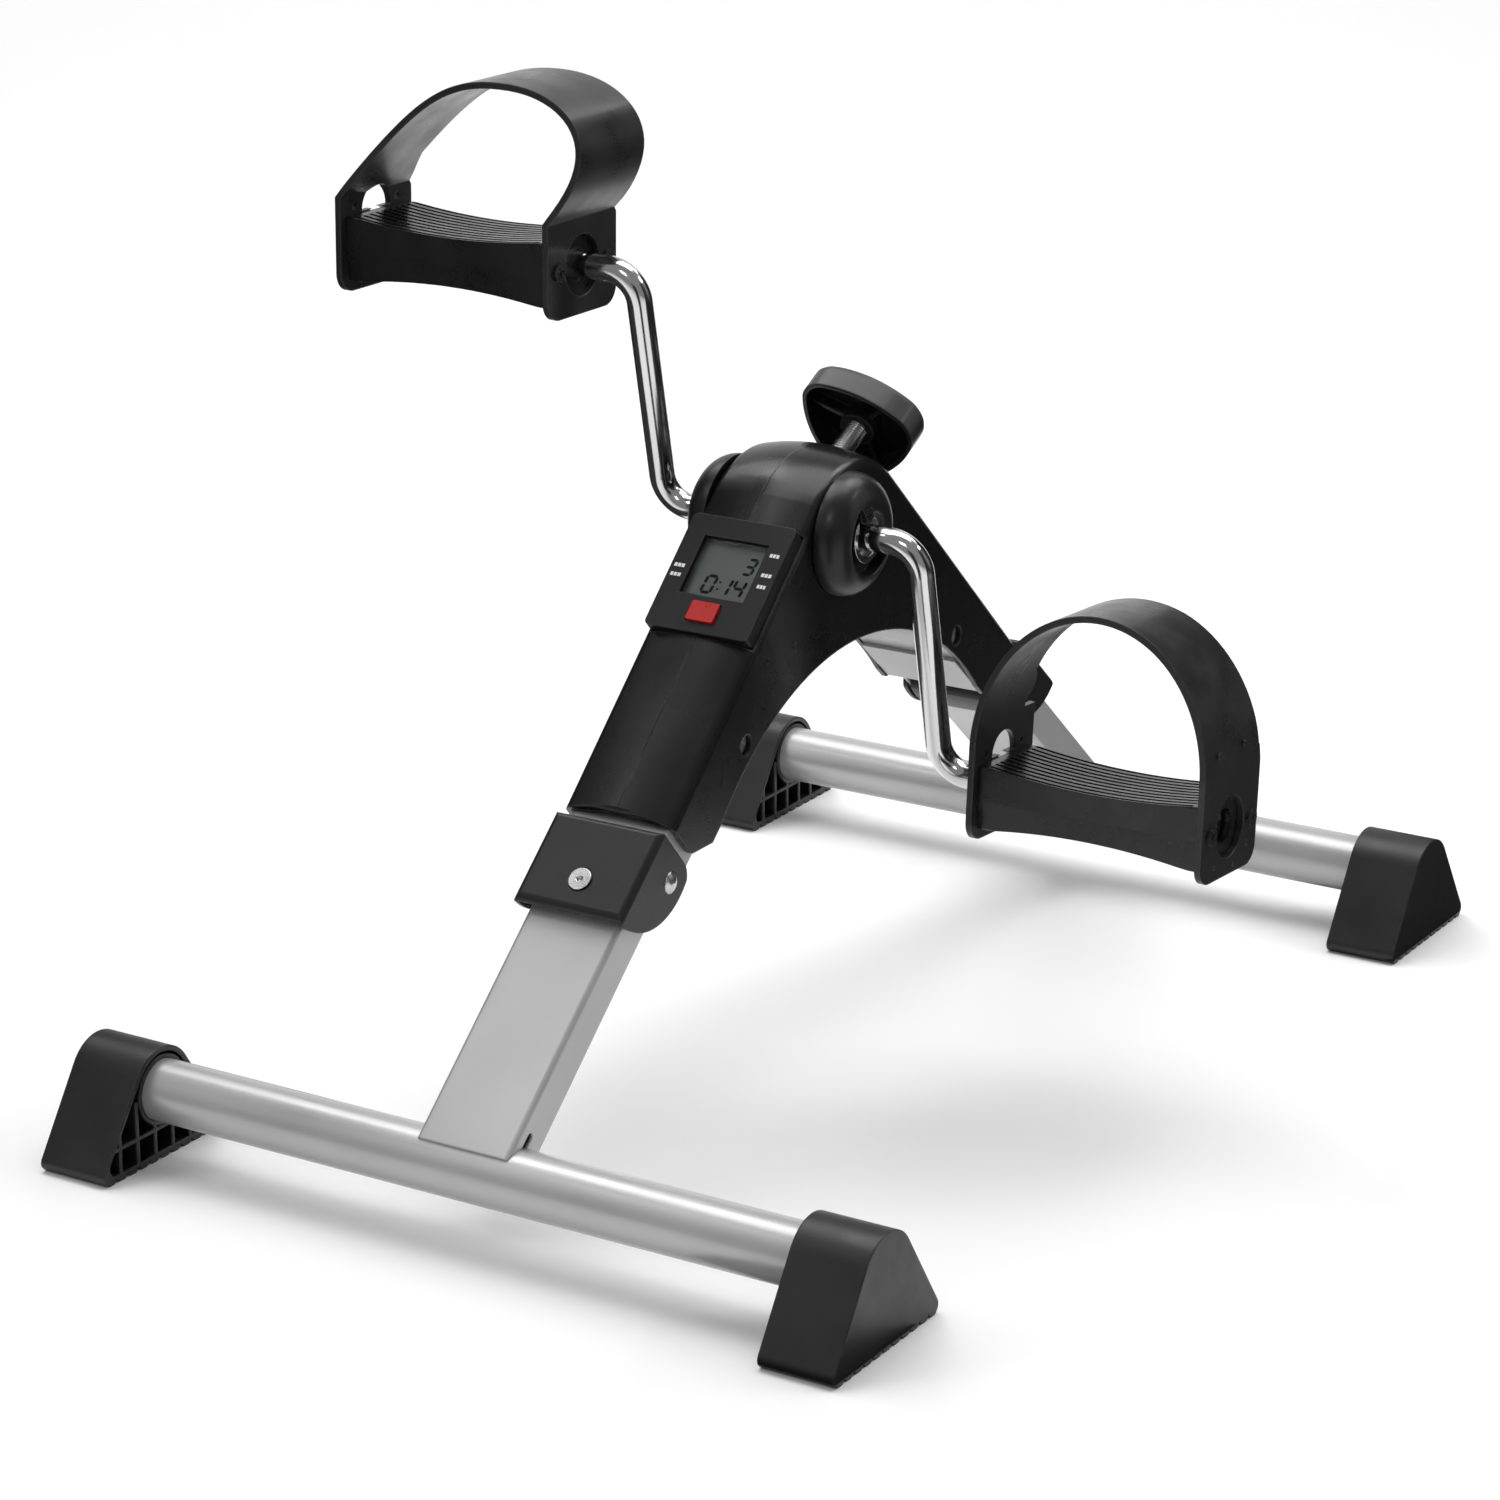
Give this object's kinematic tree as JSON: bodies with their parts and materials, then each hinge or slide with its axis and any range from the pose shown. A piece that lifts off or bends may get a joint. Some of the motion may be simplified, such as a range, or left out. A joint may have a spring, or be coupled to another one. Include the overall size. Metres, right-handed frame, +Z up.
{
  "type": "pedal exerciser",
  "caption": "Folding floor pedal exerciser with silver legs, a black arched housing with display and tension knob, chrome cranks and strapped pedals.",
  "frame": {"origin": "on the floor, midway between the feet and midway between the pedals' outer ends (centre of the bounding box's underside)", "axes": "+Z up, floor at Z = 0; +X to the user's right, along the crank axle and the stabiliser bars; +Y away from the user, so the display faces -Y and up and the tension knob is on the +Y side"},
  "size_m": [0.4246, 0.616, 0.4443],
  "materials": {
    "silver_tube": "satin silver paint on steel tube",
    "frame_steel": "satin silver paint on pressed steel",
    "black_housing": "satin black moulded plastic",
    "black_plastic": "fine textured black moulded plastic",
    "strap_plastic": "smooth flexible black plastic",
    "tread_plastic": "ribbed black plastic tread",
    "foot_rubber": "black moulded rubber",
    "chrome_rod": "bright chrome plating on steel rod",
    "zinc_steel": "bright zinc plated steel",
    "screw_steel": "plated steel screws",
    "black_screw": "black oxide screw",
    "axle_steel": "turned steel",
    "drum_iron": "turned iron",
    "brake_lining": "brown friction lining",
    "bush_nylon": "natural nylon",
    "magnet_plate": "nickel plated magnet",
    "sensor_black": "black moulded sensor case",
    "knob_black": "satin black moulded plastic",
    "bezel_black": "satin black moulded plastic",
    "clear_window": "clear plastic window",
    "lcd_grey": "grey liquid crystal panel",
    "board_green": "green circuit board",
    "cell_steel": "nickel plated steel can",
    "button_red": "red moulded plastic"
  },
  "bodies": {
    "base": {"main_frame": "frame_steel", "housing_left": "black_housing", "housing_right": "black_housing", "housing_screws": "screw_steel", "bearing_bush_left": "bush_nylon", "bearing_bush_right": "bush_nylon", "brake_bridge": "axle_steel", "tension_nut": "zinc_steel", "reed_sensor": "sensor_black", "display_bezel": "bezel_black", "display_window": "clear_window", "lcd_panel": "lcd_grey", "circuit_board": "board_green", "button_cell": "cell_steel"},
    "front_leg_group": {"front_leg": "silver_tube", "front_bar": "silver_tube", "foot_front_left": "foot_rubber", "foot_front_right": "foot_rubber", "front_hinge_cover": "black_plastic", "front_hinge_pin": "zinc_steel", "front_lock_spring": "axle_steel"},
    "rear_leg_group": {"rear_leg": "silver_tube", "rear_bar": "silver_tube", "foot_rear_left": "foot_rubber", "foot_rear_right": "foot_rubber", "rear_hinge_cover": "black_plastic", "rear_hinge_pin": "zinc_steel", "rear_lock_spring": "axle_steel"},
    "front_lock": {"front_lock_button": "zinc_steel"},
    "rear_lock": {"rear_lock_button": "zinc_steel"},
    "crank": {"crank_axle": "axle_steel", "brake_drum": "drum_iron", "magnet": "magnet_plate", "hub_collar_left": "chrome_rod", "hub_collar_right": "chrome_rod", "hub_cap_left": "black_plastic", "hub_cap_right": "black_plastic", "hub_screw_left": "black_screw", "hub_screw_right": "black_screw", "crank_rod_left": "chrome_rod", "crank_rod_right": "chrome_rod", "pedal_clip_left": "axle_steel", "pedal_clip_right": "axle_steel"},
    "right_pedal": {"pedal_body_right": "tread_plastic", "strap_right": "strap_plastic", "pedal_screws_right": "black_screw", "pedal_bush_right": "black_plastic"},
    "left_pedal": {"pedal_body_left": "tread_plastic", "strap_left": "strap_plastic", "pedal_screws_left": "black_screw", "pedal_bush_left": "black_plastic"},
    "brake": {"brake_shoe": "axle_steel", "brake_pad": "brake_lining"},
    "knob": {"tension_knob": "knob_black", "tension_bolt": "zinc_steel"},
    "mode": {"mode_button": "button_red"}
  },
  "joints": [
    {"name": "front_leg_fold", "type": "hinge", "parent": "base", "child": "front_leg_group", "pos_m": [0, -0.155, 0.13], "axis": [1, 0, 0], "range_deg": [0, 95]},
    {"name": "rear_leg_fold", "type": "hinge", "parent": "base", "child": "rear_leg_group", "pos_m": [0, 0.155, 0.13], "axis": [-1, 0, 0], "range_deg": [0, 95]},
    {"name": "front_lock_press", "type": "slide", "parent": "front_leg_group", "child": "front_lock", "axis": [0, 0.6561, -0.7547], "range_m": [0, 0.0045], "stiffness_N_per_m": 900, "springref_m": -0.004, "deforming": ["front_lock_spring"]},
    {"name": "rear_lock_press", "type": "slide", "parent": "rear_leg_group", "child": "rear_lock", "axis": [0, -0.6561, -0.7547], "range_m": [0, 0.0045], "stiffness_N_per_m": 900, "springref_m": -0.004, "deforming": ["rear_lock_spring"]},
    {"name": "crank_turn", "type": "hinge", "parent": "base", "child": "crank", "pos_m": [0, -0.011, 0.2503], "axis": [1, 0, 0], "continuous": true},
    {"name": "right_pedal_turn", "type": "hinge", "parent": "crank", "child": "right_pedal", "pos_m": [0.1525, 0.01231, 0.13871], "axis": [1, 0, 0], "continuous": true},
    {"name": "left_pedal_turn", "type": "hinge", "parent": "crank", "child": "left_pedal", "pos_m": [-0.1525, -0.03431, 0.36189], "axis": [1, 0, 0], "continuous": true},
    {"name": "tension_knob_turn", "type": "hinge", "parent": "brake", "child": "knob", "pos_m": [0, -0.011, 0.2503], "axis": [0, -0.887, -0.4617], "range_deg": [0, 720]},
    {"name": "brake_travel", "type": "slide", "parent": "base", "child": "brake", "axis": [0, -0.887, -0.4617], "range_m": [0, 0.003]},
    {"name": "mode_button_press", "type": "slide", "parent": "base", "child": "mode", "axis": [0, 0.682, -0.7314], "range_m": [0, 0.001], "stiffness_N_per_m": 700, "springref_m": -0.001}
  ],
  "couplings": [
    {"joint": "tension_knob_turn", "follows": "brake_travel", "rad_per_m": 4188.8}
  ]
}
